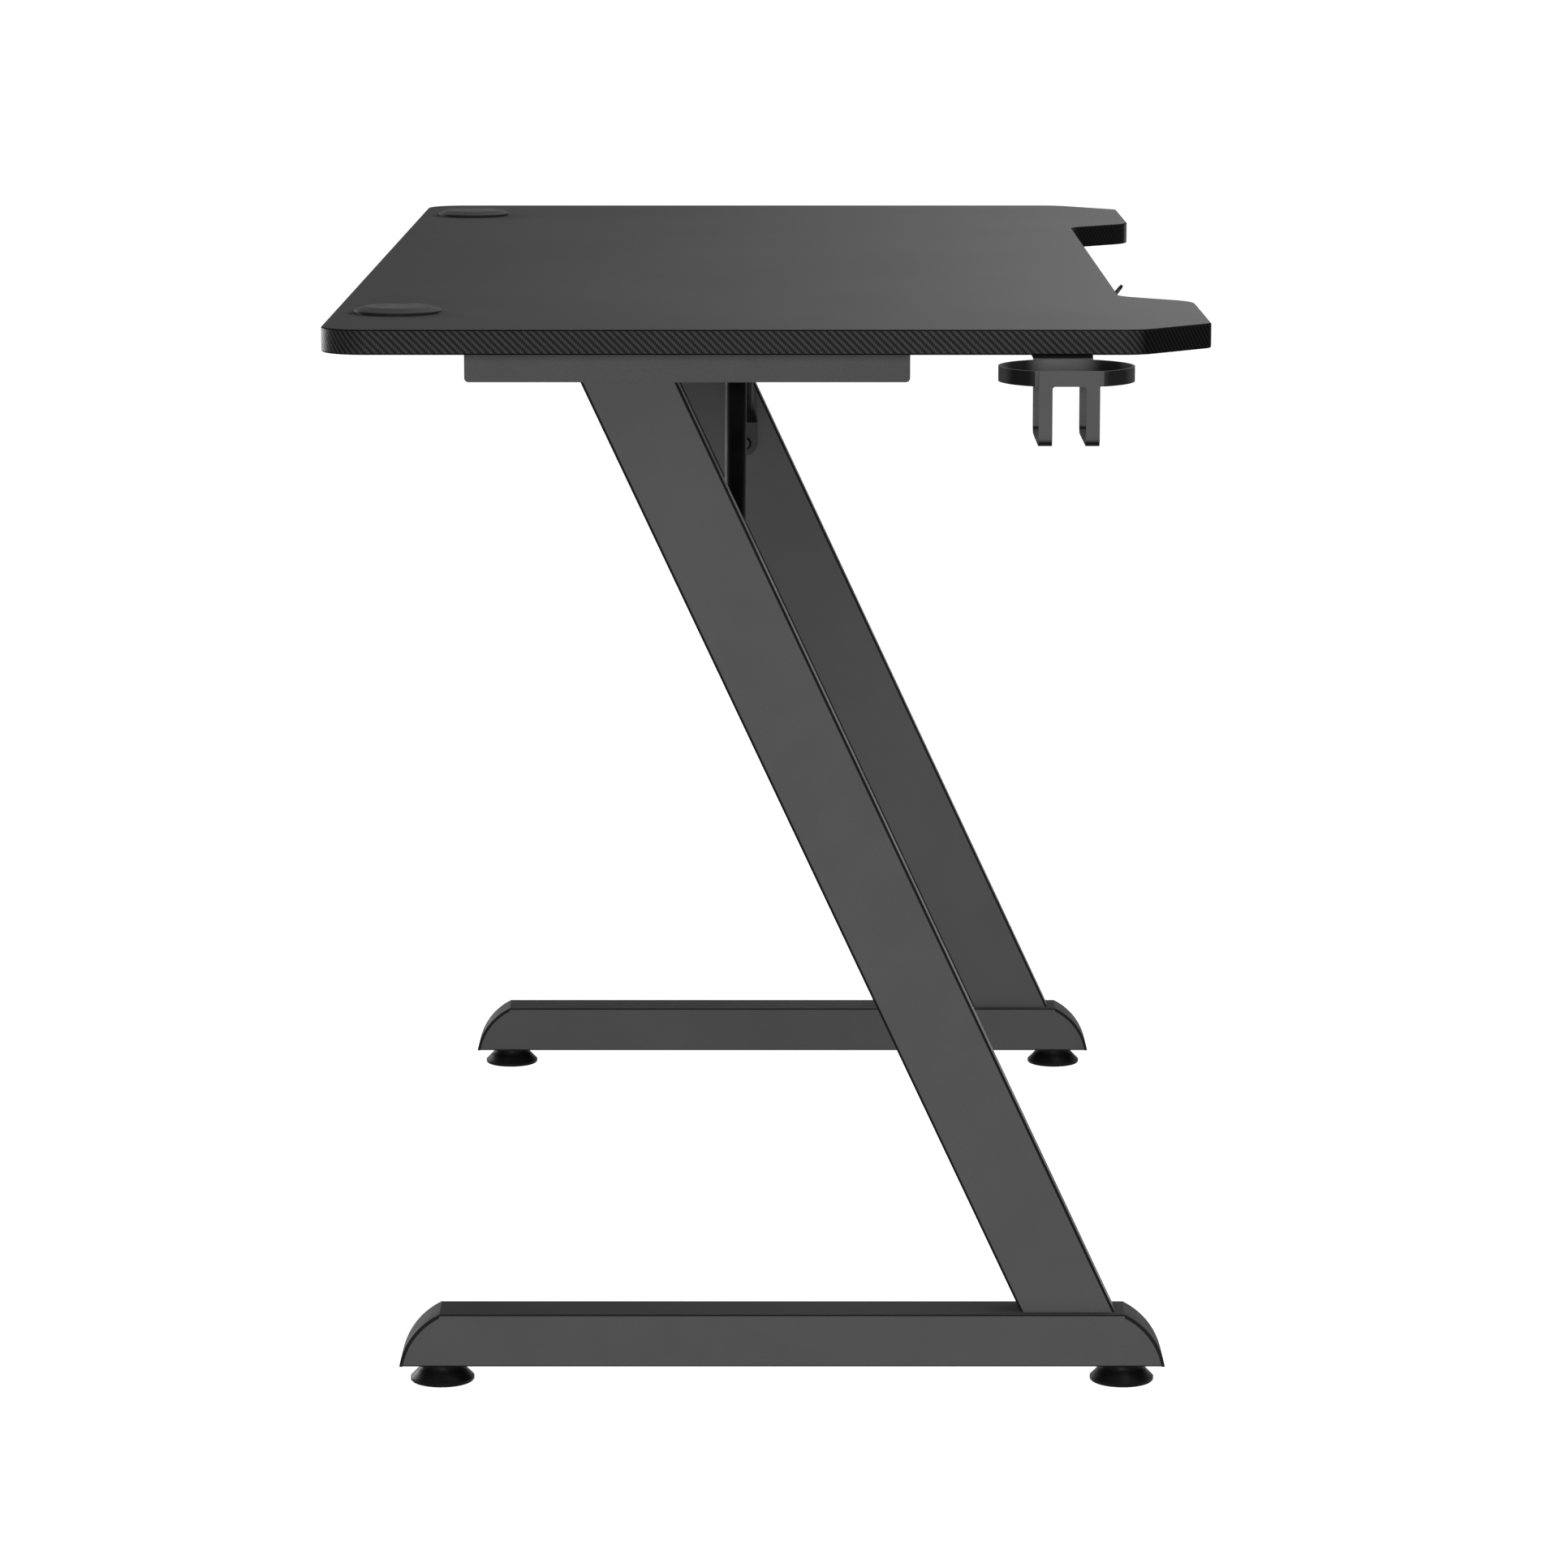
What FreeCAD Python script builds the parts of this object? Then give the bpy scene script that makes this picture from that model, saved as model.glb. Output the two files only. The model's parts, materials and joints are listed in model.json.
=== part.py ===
import FreeCAD, Part
import math
import os
import re
import Sketcher

# A gaming desk with slanted tube legs: +X runs along the desk to the user's right, -Y faces the
# user and the floor is Z = 0. The origin is under the middle of the desk with its cup holder.

# Driving sizes in millimetres and degrees
SIZES = {
    # Shared fits
    "fit_clearance": 0.2,
    "turn_clearance": 0.3,
    "thread_clearance": 0.1,
    "cut_overrun": 5,
    "head_crown_share": 0.7,
    # Worktop
    "desk_height": 750,
    "board_length": 1200,
    "board_depth": 600,
    "board_thickness": 17,
    "laminate_thickness": 0.8,
    "band_thickness": 2,
    "band_rounding": 1.2,
    "rear_corner_radius": 30,
    "front_chamfer": 50,
    "chamfer_end_radius": 30,
    "chamfer_front_radius": 10,
    "wing_length": 221,
    "wing_corner_radius": 35,
    "cutout_slant": 44,
    "cutout_depth": 50,
    "cutout_corner_radius": 28,
    # Cable grommets
    "grommet_from_end": 127,
    "grommet_from_rear": 45,
    "grommet_hole_diameter": 53,
    "sleeve_wall": 1.6,
    "sleeve_depth": 16,
    "flange_diameter": 57,
    "flange_thickness": 1.2,
    "lid_diameter": 60,
    "lid_rim_height": 1.4,
    "lid_bevel_height": 2.4,
    "lid_plateau_diameter": 46,
    "lid_rim_radius": 1.1,
    "lid_shoulder_radius": 8,
    "lid_shell": 2,
    "lid_skirt_depth": 8,
    "lid_skirt_wall": 1.6,
    "lid_notch_width": 16,
    "lid_notch_depth": 14,
    "lid_notch_radius": 5,
    # Top brackets
    "leg_inset": 93,
    "bracket_length": 304,
    "bracket_rearward": 55,
    "bracket_height": 26,
    "bracket_sheet": 2.5,
    "bracket_fold_radius": 3,
    "bracket_corner_radius": 3,
    "bracket_screw_margin": 20,
    "bracket_screw_pitch": 110,
    "bracket_screw_diameter": 6,
    "bracket_screw_head": 12,
    "bracket_screw_head_height": 4,
    "insert_diameter": 10,
    "insert_height": 12,
    # Legs
    "leg_width": 60,
    "leg_thickness": 25,
    "leg_wall": 1.5,
    "leg_corner_radius": 2.5,
    "leg_lean": 25,
    "leg_foot_forward": 210.3,
    "leg_plate_thickness": 5,
    "leg_bolt_pitch": 32,
    "leg_bolt_diameter": 8,
    "leg_bolt_head": 13,
    "leg_bolt_head_height": 8,
    "leg_bolt_end": 4,
    # Foot bars
    "foot_length": 538,
    "foot_forward": 9.6,
    "foot_width": 38,
    "foot_height": 38,
    "foot_wall": 1.8,
    "foot_corner_radius": 2,
    "foot_access_diameter": 17,
    "nose_run": 28.6,
    "nose_radius": 51.6,
    "cap_thickness": 2.4,
    "cap_inset": 0.6,
    "cap_plug_gap": 2,
    # Levelling feet
    "pad_from_end": 29.4,
    "pad_diameter": 45,
    "pad_height": 14,
    "pad_edge": 0.8,
    "pad_rim": 3.6,
    "pad_neck_diameter": 30,
    "pad_neck_height": 10.5,
    "pad_flare_radius": 6,
    "stud_diameter": 8,
    "stud_reach": 26,
    "stud_socket": 9,
    "nut_width": 13,
    "nut_height": 6.5,
    # Braces
    "brace_diameter": 15,
    "brace_angle": 45,
    "brace_flare": 30,
    "brace_tab_width": 21.5,
    "brace_tab_thickness": 3,
    "brace_tab_length": 34,
    "brace_bolt_drop": 181,
    "brace_bend_rise": 18,
    "brace_bolt_diameter": 6,
    "brace_bolt_head": 11,
    "brace_bolt_head_height": 3.5,
    "brace_bolt_end": 2,
    "brace_nut_width": 10,
    "brace_nut_height": 5,
    # Wood screws of the braces, cup holder and hook
    "screw_diameter": 4.5,
    "screw_head": 9,
    "screw_head_height": 2.4,
    "screw_depth": 11,
    "screw_hole_spare": 1,
    # Cup holder
    "cup_from_front": 103,
    "cup_centre_out": 50,
    "cup_radius": 45,
    "cup_band_height": 10,
    "cup_band_drop": 2,
    "cup_sheet": 2,
    "cup_flat_width": 45,
    "cup_plate_width": 40,
    "cup_prong_width": 9,
    "cup_prong_length": 39.5,
    "cup_bend_radius": 7,
    "cup_fold_radius": 3,
    "cup_window_radius": 1.8,
    "cup_plate_radius": 1.2,
    "cup_flange_length": 44,
    "cup_screw_pitch": 24,
    "cup_screw_from_end": 22,
    # Headphone hook
    "hook_from_end": 140,
    "hook_from_front": 43.5,
    "hook_width": 20,
    "hook_sheet": 1.6,
    "hook_flange_length": 52,
    "hook_drop": 61,
    "hook_floor": 30,
    "hook_lip_angle": 52,
    "hook_lip_length": 24,
    "hook_tip_radius": 7,
    "hook_bend_radius": 6,
    "hook_screw_margin": 11,
    "hook_screw_pitch": 26,
}

SIDES = {"left": -1, "right": 1}
ENDS = {"front": -1, "rear": 1}

doc = FreeCAD.newDocument("gaming_desk")
sheet = doc.addObject("Spreadsheet::Sheet", "Sizes")
for row, (size_name, size) in enumerate(SIZES.items(), start=1):
    sheet.set(f"A{row}", size_name)
    sheet.set(f"B{row}", str(size))
    sheet.setAlias(f"B{row}", size_name)
doc.recompute()

# Levels and places worked out from the driving sizes
UNDERSIDE = "(desk_height - board_thickness)"
FOOT_TOP = "(pad_height + foot_height)"
FOOT_MIDDLE_Y = "(-foot_forward)"
LEG_TOP = f"({UNDERSIDE} - bracket_sheet)"
CUP_FLAT = "(sqrt(cup_radius ^ 2 - cup_flat_width ^ 2 / 4))"
CUP_FACE = f"({CUP_FLAT} + cup_sheet)"
CUP_BACK = "(cup_radius + cup_sheet)"
MIDDLE_X = f"((cup_centre_out + {CUP_FACE}) / 2)"
CUP_X = f"({MIDDLE_X} - board_length / 2 - cup_centre_out)"
CUP_Y = "(cup_from_front - board_depth / 2)"
CUP_TOP = f"({UNDERSIDE} - cup_band_drop)"
HOOK_X = f"({MIDDLE_X} + board_length / 2 - hook_from_end)"
HOOK_FACE_Y = "(hook_from_front - board_depth / 2)"
LID_TOP = "(flange_thickness + lid_rim_height + lid_bevel_height)"
SLEEVE_OUTER = "(grommet_hole_diameter / 2 - fit_clearance)"
SLEEVE_INNER = f"({SLEEVE_OUTER} - sleeve_wall)"
SKIRT_OUTER = f"({SLEEVE_INNER} - turn_clearance)"
BRACKET_WIDTH = "(leg_thickness + 2 * fit_clearance + 2 * bracket_sheet)"
LEG_HALF_SPAN = "(leg_width / 2 / cos(leg_lean))"
LEG_BORE_HALF_SPAN = "((leg_width / 2 - leg_wall) / cos(leg_lean))"
BRACE_BOLT_LEVEL = f"({UNDERSIDE} - brace_bolt_drop)"
BRACE_BEND_LEVEL = f"({BRACE_BOLT_LEVEL} + brace_bend_rise)"
BRACE_Y = f"(({BRACE_BOLT_LEVEL} - {FOOT_TOP}) * tan(leg_lean) - leg_foot_forward)"
BRACE_TOP_LEVEL = f"({UNDERSIDE} - brace_tab_thickness / 2)"
BRACE_RISE = f"({BRACE_TOP_LEVEL} - {BRACE_BEND_LEVEL})"
NOSE_BOW = "sqrt(nose_radius ^ 2 / (nose_run ^ 2 + foot_height ^ 2) - 1 / 4)"
NOSE_CENTRE_INWARD = f"(nose_run / 2 + foot_height * {NOSE_BOW})"
NOSE_CENTRE_LEVEL = f"(pad_height + foot_height / 2 - nose_run * {NOSE_BOW})"


def leg_x(side):
    """Middle plane of the leg on one side."""
    return f"({MIDDLE_X} + {side} * (board_length / 2 - leg_inset))"


def leg_y(level):
    """Centreline of the slanted leg at a level."""
    return f"(({level} - {FOOT_TOP}) * tan(leg_lean) - leg_foot_forward)"


def pad_y(end):
    """Middle of the levelling foot at one end of a foot bar."""
    return f"({FOOT_MIDDLE_Y} + {end} * (foot_length / 2 - pad_from_end))"


def bracket_screw_places(side):
    """Plan places of the three screws through one top bracket."""
    front = "bracket_rearward - bracket_length / 2 + bracket_screw_margin"
    rear = "bracket_rearward + bracket_length / 2 - bracket_screw_margin"
    return [(leg_x(side), y) for y in (front, f"{front} + bracket_screw_pitch", rear)]


def leg_bolt_places():
    """Places along Y of the two bolts that hold a leg to its foot bar."""
    return [f"({end}) * leg_bolt_pitch / 2 - leg_foot_forward" for end in ENDS.values()]


def brace_screw_place(side):
    """Plan place of the screw at the top of one brace."""
    inner_face = f"{leg_x(side)} - {side} * (leg_thickness / 2 + brace_tab_thickness / 2)"
    return f"{inner_face} - {side} * ({BRACE_RISE} * tan(brace_angle) + brace_tab_length)", BRACE_Y


def cup_screw_places():
    """Plan places of the two screws through the cup holder's flange."""
    x = f"{MIDDLE_X} - board_length / 2 + cup_screw_from_end"
    return [(x, f"{CUP_Y} + {end} * cup_screw_pitch / 2") for end in ENDS.values()]


def hook_screw_places():
    """Plan places of the two screws through the hook's flange."""
    rear = f"{HOOK_FACE_Y} + hook_flange_length - hook_screw_margin"
    return [(HOOK_X, rear), (HOOK_X, f"{rear} - hook_screw_pitch")]


def grommet_place(side):
    """Plan place of one cable grommet."""
    x = f"{MIDDLE_X} + {side} * (board_length / 2 - grommet_from_end)"
    return x, "board_depth / 2 - grommet_from_rear"


def bound(expression):
    """Put the sheet's name in front of every size in an expression."""
    return re.sub(r"\b[a-z]+(?:_[a-z]+)+\b", r"Sizes.\g<0>", str(expression))


def value(expression):
    """Number that an expression has now."""
    return float(sheet.evalExpression(bound(expression)))


def tie(thing, **properties):
    """Bind properties of an object to expressions in the sheet's sizes."""
    for name, expression in properties.items():
        thing.setExpression(name, bound(expression))


def place(thing, x="0", y="0", z="0"):
    """Bind an object's position to expressions."""
    for axis, expression in zip("xyz", (x, y, z)):
        thing.setExpression(f"Placement.Base.{axis}", bound(expression))
    return thing


def turn(thing, axis, degrees):
    """Turn an object about an axis before it is placed."""
    thing.Placement = FreeCAD.Placement(FreeCAD.Vector(), FreeCAD.Rotation(axis, degrees))
    return thing


def add(kind, name, **properties):
    """New object of the document with its sizes bound."""
    thing = doc.addObject(kind, name)
    tie(thing, **properties)
    return thing


def cylinder(name, radius, height, x="0", y="0", z="0"):
    """Upright cylinder that stands on a point."""
    return place(add("Part::Cylinder", name, Radius=radius, Height=height), x, y, z)


def box(name, size, middle):
    """Box with its middle at a point."""
    block = add("Part::Box", name, Length=size[0], Width=size[1], Height=size[2])
    return place(block, *(f"{at} - ({extent}) / 2" for at, extent in zip(middle, size)))


def fuse(name, pieces):
    """One solid from several."""
    joined = doc.addObject("Part::MultiFuse", name)
    joined.Shapes = pieces
    return joined


def cut(name, base, tools):
    """A solid with others taken out of it."""
    carved = doc.addObject("Part::Cut", name)
    carved.Base = base
    carved.Tool = tools[0] if len(tools) == 1 else fuse(f"{name}_cuts", tools)
    return carved


def round_edges(body, radius, chosen):
    """Round the edges of a body that a test picks by their middle and direction."""
    doc.recompute()
    base = body.Tip
    names = []
    for number, edge in enumerate(base.Shape.Edges, start=1):
        halfway = (edge.FirstParameter + edge.LastParameter) / 2
        if chosen(edge.valueAt(halfway), edge.tangentAt(halfway)):
            names.append(f"Edge{number}")
    fillet = body.newObject("PartDesign::Fillet", f"{body.Name}_fillet")
    fillet.Base = (base, names)
    tie(fillet, Radius=radius)
    return body


def draw(sketch, corners):
    """Closed outline through corners (x, y, radius), each corner bound to expressions."""
    points = [FreeCAD.Vector(value(x), value(y), 0) for x, y, radius in corners]
    radii = [value(radius) for x, y, radius in corners]
    count = len(corners)
    leaves = []
    for here in range(count):
        back = (points[here - 1] - points[here]).normalize()
        ahead = (points[(here + 1) % count] - points[here]).normalize()
        reach = radii[here] / math.tan(back.getAngle(ahead) / 2)
        leaves.append((points[here] + back * reach, points[here] + ahead * reach, back, ahead))
    lines = []
    for here in range(count):
        start = leaves[here][1]
        finish = leaves[(here + 1) % count][0]
        lines.append(sketch.addGeometry(Part.LineSegment(start, finish)))
    for here, (x, y, radius) in enumerate(corners):
        before = lines[here - 1]
        after = lines[here]
        if radii[here] == 0:
            sketch.addConstraint(Sketcher.Constraint("Coincident", before, 2, after, 1))
            mark = after
        else:
            mark = round_corner(sketch, before, after, radius, radii[here], points[here], leaves[here])
        for kind, expression in (("DistanceX", x), ("DistanceY", y)):
            limit = Sketcher.Constraint(kind, -1, 1, mark, 1, value(expression))
            number = sketch.addConstraint(limit)
            sketch.setExpression(f"Constraints[{number}]", bound(expression))


def round_corner(sketch, before, after, radius, size, corner, leaf):
    """Tangent arc between two lines, with a point that keeps their corner."""
    arrive, depart, back, ahead = leaf
    centre = corner + (back + ahead).normalize() * math.hypot(size, (arrive - corner).Length)
    left_turn = back.cross(ahead).z < 0
    first, last = (arrive, depart) if left_turn else (depart, arrive)
    turns = [math.atan2(end.y - centre.y, end.x - centre.x) for end in (first, last)]
    circle = Part.Circle(centre, FreeCAD.Vector(0, 0, 1), size)
    arc = sketch.addGeometry(Part.ArcOfCircle(circle, turns[0], turns[1]))
    mark = sketch.addGeometry(Part.Point(corner), True)
    entry, leave = (1, 2) if left_turn else (2, 1)
    sketch.addConstraint(Sketcher.Constraint("Tangent", before, 2, arc, entry))
    sketch.addConstraint(Sketcher.Constraint("Tangent", arc, leave, after, 1))
    sketch.addConstraint(Sketcher.Constraint("PointOnObject", mark, 1, before))
    sketch.addConstraint(Sketcher.Constraint("PointOnObject", mark, 1, after))
    number = sketch.addConstraint(Sketcher.Constraint("Radius", arc, size))
    sketch.setExpression(f"Constraints[{number}]", bound(radius))
    return mark


def sharp(*points):
    """Corners with no rounding."""
    return [(x, y, "0") for x, y in points]


def sketch_in(body, role, corners):
    """Sketch on one of a body's own planes."""
    sketch = body.newObject("Sketcher::SketchObject", f"{body.Name}_sketch")
    plane = [feature for feature in body.Origin.OriginFeatures if feature.Role == role]
    sketch.AttachmentSupport = [(plane[0], "")]
    sketch.MapMode = "FlatFace"
    draw(sketch, corners)
    return sketch


def slab(name, role, corners, thickness):
    """Outline padded evenly to both sides of its plane."""
    body = doc.addObject("PartDesign::Body", name)
    sketch = sketch_in(body, role, corners)
    pad = body.newObject("PartDesign::Pad", f"{name}_pad")
    pad.Profile = sketch
    pad.SideType = "Symmetric"
    tie(pad, Length=thickness)
    return body


def turned(name, corners):
    """Half outline (radius, level) turned about the upright axis."""
    body = doc.addObject("PartDesign::Body", name)
    sketch = sketch_in(body, "XZ_Plane", corners)
    revolution = body.newObject("PartDesign::Revolution", f"{name}_turn")
    revolution.Profile = sketch
    revolution.ReferenceAxis = (sketch, ["V_Axis"])
    return body


def hexagon_nut(name, width, height, bore):
    """Hexagonal nut standing on its seat."""
    prism = add("Part::Prism", f"{name}_hexagon", Circumradius=f"{width} / sqrt(3)", Height=height)
    prism.Polygon = 6
    hole = cylinder(f"{name}_bore", bore, f"{height} + 2 * cut_overrun", z="-cut_overrun")
    return cut(name, prism, [hole])


def headed(name, head, head_height, shank, length):
    """Upright screw with its seat at zero, crowned head below and shank above."""
    crown = f"{head} / 2 * head_crown_share"
    shoulder = f"-{head_height} * head_crown_share"
    return turned(name, sharp(
        ("0", f"-{head_height}"), (crown, f"-{head_height}"), (f"{head} / 2", shoulder),
        (f"{head} / 2", "0"), (f"{shank} / 2", "0"), (f"{shank} / 2", length), ("0", length)))


def wood_screw(name, spot, sheet_thickness):
    """Screw up through a sheet of metal into the board."""
    screw = headed(name, "screw_head", "screw_head_height", "screw_diameter",
                   f"{sheet_thickness} + screw_depth")
    return place(screw, *spot, f"{UNDERSIDE} - {sheet_thickness}")


def group(name, pieces):
    """Several like solids kept as one sub-part."""
    together = doc.addObject("Part::Compound", name)
    together.Links = pieces
    return together


def keep(name, thing):
    """Name a finished sub-part."""
    thing.Label = name
    parts[name] = thing


def board_corners():
    """Plan of the worktop: chamfered front corners, two wings and the cut-out between them."""
    left = f"{MIDDLE_X} - board_length / 2"
    right = f"{MIDDLE_X} + board_length / 2"
    front = "-board_depth / 2"
    rear = "board_depth / 2"
    recess = "cutout_depth - board_depth / 2"
    return [
        (left, f"{front} + front_chamfer", "chamfer_end_radius"),
        (f"{left} + front_chamfer", front, "chamfer_front_radius"),
        (f"{left} + wing_length", front, "wing_corner_radius"),
        (f"{left} + wing_length + cutout_slant", recess, "cutout_corner_radius"),
        (f"{right} - wing_length - cutout_slant", recess, "cutout_corner_radius"),
        (f"{right} - wing_length", front, "wing_corner_radius"),
        (f"{right} - front_chamfer", front, "chamfer_front_radius"),
        (right, f"{front} + front_chamfer", "chamfer_end_radius"),
        (right, rear, "rear_corner_radius"),
        (left, rear, "rear_corner_radius"),
    ]


def raised(name, outline, level, height):
    """Flat outline raised to a height from a level."""
    solid = add("Part::Extrusion", name, LengthFwd=height)
    solid.Base = outline
    solid.DirMode = "Custom"
    solid.Dir = FreeCAD.Vector(0, 0, 1)
    solid.Solid = True
    return place(solid, z=level)


def fixing_holes():
    """Blind holes in the underside for the inserts and the wood screws."""
    low = f"{UNDERSIDE} - cut_overrun"
    holes = []
    for side in SIDES.values():
        for number, (x, y) in enumerate(bracket_screw_places(side)):
            holes.append(cylinder(f"insert_hole_{number}", "insert_diameter / 2",
                                  "insert_height + cut_overrun", x, y, low))
    wood = [brace_screw_place(side) for side in SIDES.values()] + cup_screw_places() + hook_screw_places()
    for number, (x, y) in enumerate(wood):
        holes.append(cylinder(f"screw_hole_{number}", "screw_diameter / 2 + thread_clearance",
                              "screw_depth + screw_hole_spare + cut_overrun", x, y, low))
    return holes


def worktop():
    """Board core, top laminate and the edge band round both."""
    outline = doc.addObject("Sketcher::SketchObject", "board_outline")
    draw(outline, board_corners())
    inner = add("Part::Offset2D", "core_outline", Value="-band_thickness")
    inner.Source = outline
    inner.Join = "Intersection"
    through = "board_thickness + 2 * cut_overrun"
    low = f"{UNDERSIDE} - cut_overrun"
    openings = [cylinder("grommet_hole", "grommet_hole_diameter / 2", through, *grommet_place(side), low)
                for side in SIDES.values()]
    sheet_blank = raised("laminate_blank", inner, "desk_height - laminate_thickness", "laminate_thickness")
    keep("desktop_laminate", cut("laminate", sheet_blank, openings))
    core_blank = raised("core_blank", inner, UNDERSIDE, "board_thickness - laminate_thickness")
    keep("desktop_core", cut("core", core_blank, openings + fixing_holes()))
    band_blank = slab("band_blank", "XY_Plane", board_corners(), "board_thickness")
    round_edges(band_blank, "band_rounding", lambda middle, along: abs(along.z) < math.sqrt(0.5))
    place(band_blank, z=f"{UNDERSIDE} + board_thickness / 2")
    room = raised("band_room", inner, low, through)
    keep("edge_band", cut("band", band_blank, [room]))


def grommet(name, side):
    """Flanged sleeve and the notched lid that turns in it."""
    x, y = grommet_place(side)
    sleeve = turned(f"{name}_sleeve", sharp(
        (SLEEVE_INNER, "-sleeve_depth"), (SLEEVE_OUTER, "-sleeve_depth"), (SLEEVE_OUTER, "0"),
        ("flange_diameter / 2", "0"), ("flange_diameter / 2", "flange_thickness"),
        (SLEEVE_INNER, "flange_thickness")))
    keep(f"{name}_grommet_sleeve", place(sleeve, x, y, "desk_height"))
    skirt_inner = f"({SKIRT_OUTER} - lid_skirt_wall)"
    lid = turned(f"{name}_lid_blank", [
        (skirt_inner, "-lid_skirt_depth", "0"), (SKIRT_OUTER, "-lid_skirt_depth", "0"),
        (SKIRT_OUTER, "flange_thickness", "0"), ("lid_diameter / 2", "flange_thickness", "0"),
        ("lid_diameter / 2", "flange_thickness + lid_rim_height", "lid_rim_radius"),
        ("lid_plateau_diameter / 2", LID_TOP, "lid_shoulder_radius"), ("0", LID_TOP, "0"),
        ("0", f"{LID_TOP} - lid_shell", "0"), (skirt_inner, f"{LID_TOP} - lid_shell", "0"),
    ])
    tip = "lid_diameter / 2 - lid_notch_depth"
    mouth = "lid_diameter / 2 + cut_overrun"
    notch = slab(f"{name}_lid_notch", "XY_Plane", [
        (tip, "-lid_notch_width / 2", "lid_notch_radius"), (mouth, "-lid_notch_width / 2", "0"),
        (mouth, "lid_notch_width / 2", "0"), (tip, "lid_notch_width / 2", "lid_notch_radius"),
    ], f"2 * ({LID_TOP} + lid_skirt_depth + cut_overrun)")
    keep(f"{name}_grommet_lid", place(cut(f"{name}_lid", lid, [notch]), x, y, "desk_height"))


def top_bracket(name, side):
    """Folded channel under the board, with its screws and their inserts."""
    half = f"{BRACKET_WIDTH} / 2"
    inner = f"({half} - bracket_sheet)"
    channel = slab(f"{name}_channel", "XZ_Plane", [
        (f"-{half}", "-bracket_height", "0"), (f"-{inner}", "-bracket_height", "0"),
        (f"-{inner}", "-bracket_sheet", "0"), (inner, "-bracket_sheet", "0"),
        (inner, "-bracket_height", "0"), (half, "-bracket_height", "0"),
        (half, "0", "bracket_fold_radius"), (f"-{half}", "0", "bracket_fold_radius"),
    ], "bracket_length")
    low = -value("bracket_height") / 2
    round_edges(channel, "bracket_corner_radius",
                lambda middle, along: abs(along.x) > math.sqrt(0.5) and middle.z < low)
    place(channel, leg_x(side), "bracket_rearward", UNDERSIDE)
    holes = []
    screws = []
    inserts = []
    for number, (x, y) in enumerate(bracket_screw_places(side)):
        holes.append(cylinder(f"{name}_bracket_hole_{number}", "bracket_screw_diameter / 2 + fit_clearance",
                              "bracket_sheet + 2 * cut_overrun", x, y,
                              f"{UNDERSIDE} - bracket_sheet - cut_overrun"))
        screw = headed(f"{name}_bracket_screw_{number}", "bracket_screw_head", "bracket_screw_head_height",
                       "bracket_screw_diameter", "bracket_sheet + insert_height")
        screws.append(place(screw, x, y, f"{UNDERSIDE} - bracket_sheet"))
        bush = cylinder(f"{name}_bush_{number}", "insert_diameter / 2", "insert_height", x, y, UNDERSIDE)
        thread = cylinder(f"{name}_thread_{number}", "bracket_screw_diameter / 2 + thread_clearance",
                          "insert_height + 2 * cut_overrun", x, y, f"{UNDERSIDE} - cut_overrun")
        inserts.append(cut(f"{name}_insert_{number}", bush, [thread]))
    keep(f"{name}_top_bracket", cut(f"{name}_bracket", channel, holes))
    keep(f"{name}_bracket_screws", group(f"{name}_screws", screws))
    keep(f"{name}_board_inserts", group(f"{name}_inserts", inserts))


def slanted(name, half_span, low, high, thickness):
    """Block between two levels that follows the leg's lean."""
    return slab(name, "YZ_Plane", sharp(
        (f"{leg_y(low)} - {half_span}", low), (f"{leg_y(low)} + {half_span}", low),
        (f"{leg_y(high)} + {half_span}", high), (f"{leg_y(high)} - {half_span}", high)), thickness)


def leg(name, side):
    """Slanted tube, the threaded plate in its lower end and the bolts from the foot bar."""
    tube = slanted(f"{name}_leg_outside", LEG_HALF_SPAN, FOOT_TOP, LEG_TOP, "leg_thickness")
    round_edges(tube, "leg_corner_radius", lambda middle, along: abs(along.z) > math.sqrt(0.5))
    bore = slanted(f"{name}_leg_bore", LEG_BORE_HALF_SPAN, f"({FOOT_TOP} - cut_overrun)",
                   f"({LEG_TOP} + cut_overrun)", "leg_thickness - 2 * leg_wall")
    bolt_hole = cylinder(f"{name}_leg_bolt_hole", "brace_bolt_diameter / 2 + fit_clearance",
                         "leg_thickness / 2 + cut_overrun", "0", BRACE_Y, BRACE_BOLT_LEVEL)
    turn(bolt_hole, FreeCAD.Vector(0, 1, 0), -90 * side)
    keep(f"{name}_leg", place(cut(f"{name}_leg_tube", tube, [bore, bolt_hole]), leg_x(side)))
    plate = slanted(f"{name}_plate_blank", f"({LEG_BORE_HALF_SPAN} - fit_clearance)", FOOT_TOP,
                    f"({FOOT_TOP} + leg_plate_thickness)",
                    "leg_thickness - 2 * leg_wall - 2 * fit_clearance")
    place(plate, leg_x(side))
    holes = []
    bolts = []
    for number, y in enumerate(leg_bolt_places()):
        holes.append(cylinder(f"{name}_plate_hole_{number}", "leg_bolt_diameter / 2 + thread_clearance",
                              "leg_plate_thickness + 2 * cut_overrun", leg_x(side), y,
                              f"{FOOT_TOP} - cut_overrun"))
        bolt = headed(f"{name}_leg_bolt_{number}", "leg_bolt_head", "leg_bolt_head_height",
                      "leg_bolt_diameter", "foot_wall + leg_plate_thickness + leg_bolt_end")
        bolts.append(place(bolt, leg_x(side), y, f"{FOOT_TOP} - foot_wall"))
    keep(f"{name}_leg_plate", cut(f"{name}_plate", plate, holes))
    keep(f"{name}_leg_bolts", group(f"{name}_bolts", bolts))


def nose_tip(end):
    """Outermost point of the foot bar at one end."""
    return f"({FOOT_MIDDLE_Y} + ({end}) * foot_length / 2)"


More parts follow.
